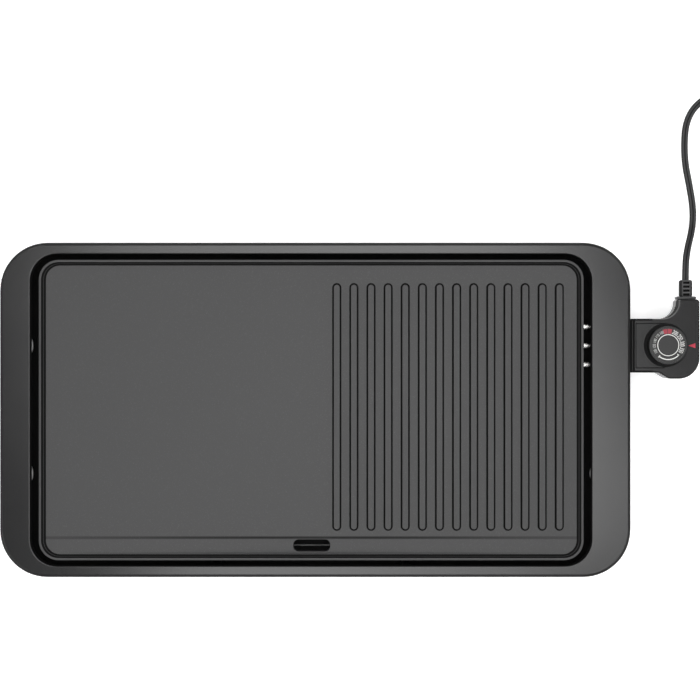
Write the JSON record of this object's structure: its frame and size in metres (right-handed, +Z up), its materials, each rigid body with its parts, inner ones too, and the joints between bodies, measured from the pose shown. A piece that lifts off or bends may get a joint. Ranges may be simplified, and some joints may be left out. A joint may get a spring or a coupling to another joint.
{
  "type": "electric griddle",
  "caption": "Long low electric griddle: part-smooth, part-ribbed non-stick plate in a black frame, slide-out drip tray, plug-in dial thermostat on a flat cord.",
  "frame": {"origin": "centre of the box round the griddle and its control (cord left out), on the surface that it stands on", "axes": "+X along the length towards the temperature control, +Y to the back, +Z up"},
  "size_m": [0.8584, 0.5226, 0.064],
  "materials": {
    "black_housing": "satin black moulded heat-resistant plastic",
    "control_plastic": "fine-textured black moulded plastic",
    "nonstick": "cast aluminium with a matte dark grey non-stick coating",
    "rubber": "black rubber",
    "grey_silicone": "grey heat-resistant silicone",
    "steel": "zinc-plated steel",
    "nickel": "bright nickel-plated steel",
    "element_sheath": "oxidised steel sheath",
    "aluminium_sheet": "bright pressed aluminium sheet",
    "ceramic_white": "unglazed steatite and fibre insulation",
    "brass": "bare brass",
    "dial_black": "satin black plastic with printed numbers",
    "red_lens": "clear red moulded lens",
    "lamp_glass": "clear glass neon lamp",
    "cord_black": "black flexible PVC"
  },
  "bodies": {
    "base": {"base_frame": "black_housing", "base_pan": "black_housing", "base_screws": "steel", "foot_front_left": "rubber", "foot_front_right": "rubber", "foot_rear_left": "rubber", "foot_rear_right": "rubber", "front_pin": "nickel", "griddle_plate": "nonstick", "heat_shield": "aluminium_sheet", "heating_element": "element_sheath", "insulating_washers": "ceramic_white", "pin_insulators": "ceramic_white", "plate_bumpers": "grey_silicone", "plate_screws": "steel", "probe_guide": "nickel", "rear_pin": "nickel", "socket_shroud": "black_housing", "tray_rail_left": "black_housing", "tray_rail_right": "black_housing"},
    "tray": {"drip_tray": "black_housing", "tray_front": "black_housing"},
    "control": {"control_top_shell": "control_plastic", "control_bottom_shell": "control_plastic", "control_screws": "steel", "control_nose": "control_plastic", "terminal_sleeves": "brass", "probe_stem": "nickel", "thermostat_frame": "steel", "insulating_stack": "ceramic_white", "fixed_contact_arm": "brass", "moving_contact_arm": "brass", "contact_points": "brass", "transfer_pin": "ceramic_white", "pilot_lamp": "lamp_glass", "pointer_lens": "red_lens", "strain_relief": "cord_black", "cord_leads": "cord_black", "power_cord": "cord_black", "cord_coil": "cord_black", "cord_tail": "cord_black", "cord_tie": "cord_black", "plug_body": "cord_black", "plug_blades": "nickel"},
    "dial": {"dial_knob": "dial_black", "dial_plate": "dial_black", "dial_shaft": "steel", "dial_clip": "steel"}
  },
  "joints": [
    {"name": "control_pull", "type": "slide", "parent": "base", "child": "control", "axis": [1, 0, 0], "range_m": [0, 0.115]},
    {"name": "dial_turn", "type": "hinge", "parent": "control", "child": "dial", "pos_m": [0.3335, 0.068, 0.05], "axis": [0, 0, 1], "range_deg": [-215, 37]},
    {"name": "tray_slide", "type": "slide", "parent": "base", "child": "tray", "axis": [0, -1, 0], "range_m": [0, 0.112]}
  ]
}
